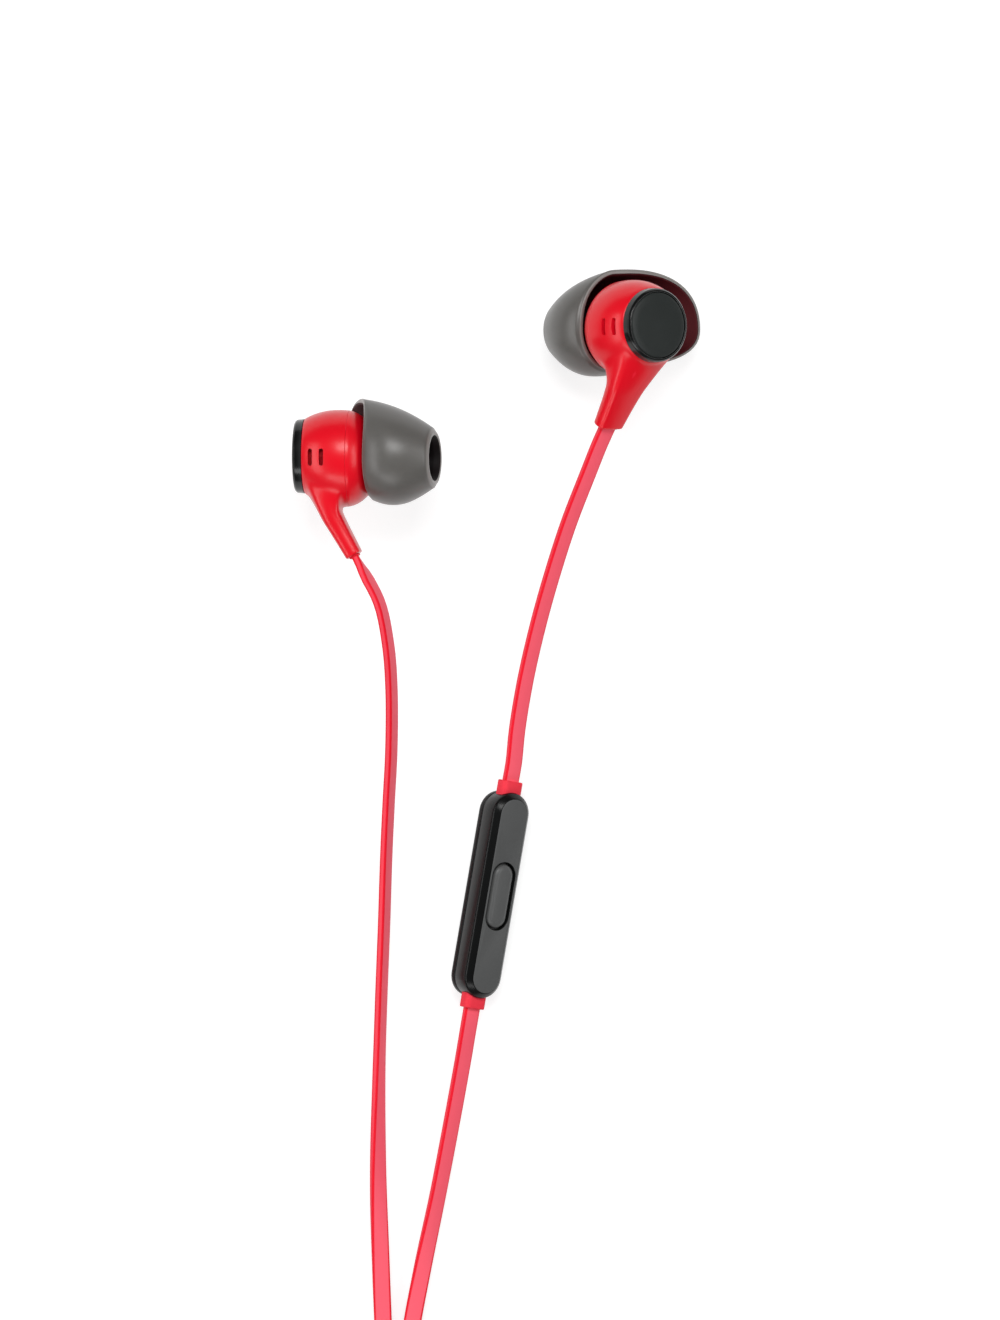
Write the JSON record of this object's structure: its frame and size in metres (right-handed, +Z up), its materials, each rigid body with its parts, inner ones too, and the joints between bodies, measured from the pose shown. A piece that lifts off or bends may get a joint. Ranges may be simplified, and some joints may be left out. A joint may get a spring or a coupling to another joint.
{
  "type": "wired earphones",
  "caption": "In-ear earphones: round housings with hooded silicone tips, angled stems, a flat cable with an in-line button, a splitter and an angled four-pole plug",
  "frame": {"origin": "bottom centre of the two earpieces' box, on the surface that the earphones lie on", "axes": "+Z up from the surface; +X from the right earpiece to the left one; +Y from the cable towards the earpieces"},
  "size_m": [0.0796, 0.2547, 0.0244],
  "materials": {
    "red_gloss": "glossy injection-moulded red shell",
    "red_cable": "smooth satin flat cable jacket and soft moulded collars",
    "black_gloss": "glossy black cap ring",
    "dark_disc": "plain satin dark disc, left bare",
    "silicone": "soft smoke-grey silicone, slightly translucent",
    "black_shell": "fine satin black moulding",
    "grey_button": "satin dark grey key",
    "steel": "drawn steel",
    "circuit": "green circuit board",
    "film": "thin film",
    "contact": "plated contact",
    "insulator": "black insulator",
    "strap": "black woven strap"
  },
  "bodies": {
    "earphones": {"left_nozzle_housing": "red_gloss", "left_stem_housing": "red_gloss", "left_face_cap": "black_gloss", "left_face_plate": "dark_disc", "left_driver_frame": "steel", "left_driver_magnet": "steel", "left_driver_diaphragm": "film", "left_nozzle_mesh": "steel", "left_vent_mesh": "insulator", "left_cable_anchor": "red_cable", "right_nozzle_housing": "red_gloss", "right_stem_housing": "red_gloss", "right_face_cap": "black_gloss", "right_face_plate": "dark_disc", "right_driver_frame": "steel", "right_driver_magnet": "steel", "right_driver_diaphragm": "film", "right_nozzle_mesh": "steel", "right_vent_mesh": "insulator", "right_cable_anchor": "red_cable", "control_front_shell": "black_shell", "control_back_shell": "black_shell", "control_board": "circuit", "control_switch": "steel", "control_mic": "steel", "control_collar_top": "red_cable", "control_collar_bottom": "red_cable", "splitter_front_shell": "black_shell", "splitter_back_shell": "black_shell", "splitter_collar_right": "red_cable", "splitter_collar_left": "red_cable", "splitter_collar_main": "red_cable", "plug_grip": "black_shell", "plug_relief": "red_cable", "plug_sleeve": "contact", "plug_ring_lower": "contact", "plug_ring_upper": "contact", "plug_tip": "contact", "plug_core": "insulator", "right_cord": "red_cable", "left_cord_upper": "red_cable", "left_cord_lower": "red_cable", "main_cord_lead": "red_cable", "main_cord_coil": "red_cable", "main_cord_tail": "red_cable", "cord_tie": "strap"},
    "left_tip": {"left_ear_tip": "silicone"},
    "right_tip": {"right_ear_tip": "silicone"},
    "button": {"control_button": "grey_button"}
  },
  "joints": [
    {"name": "left_tip_pull", "type": "slide", "parent": "earphones", "child": "left_tip", "axis": [-0.7071, 0, -0.7071], "range_m": [0, 0.016]},
    {"name": "right_tip_pull", "type": "slide", "parent": "earphones", "child": "right_tip", "axis": [0.9681, 0, 0.2504], "range_m": [0, 0.016]},
    {"name": "button_press", "type": "slide", "parent": "earphones", "child": "button", "axis": [-0.5654, 0.0966, -0.8191], "range_m": [0, 0.0003], "stiffness_N_per_m": 2000}
  ]
}
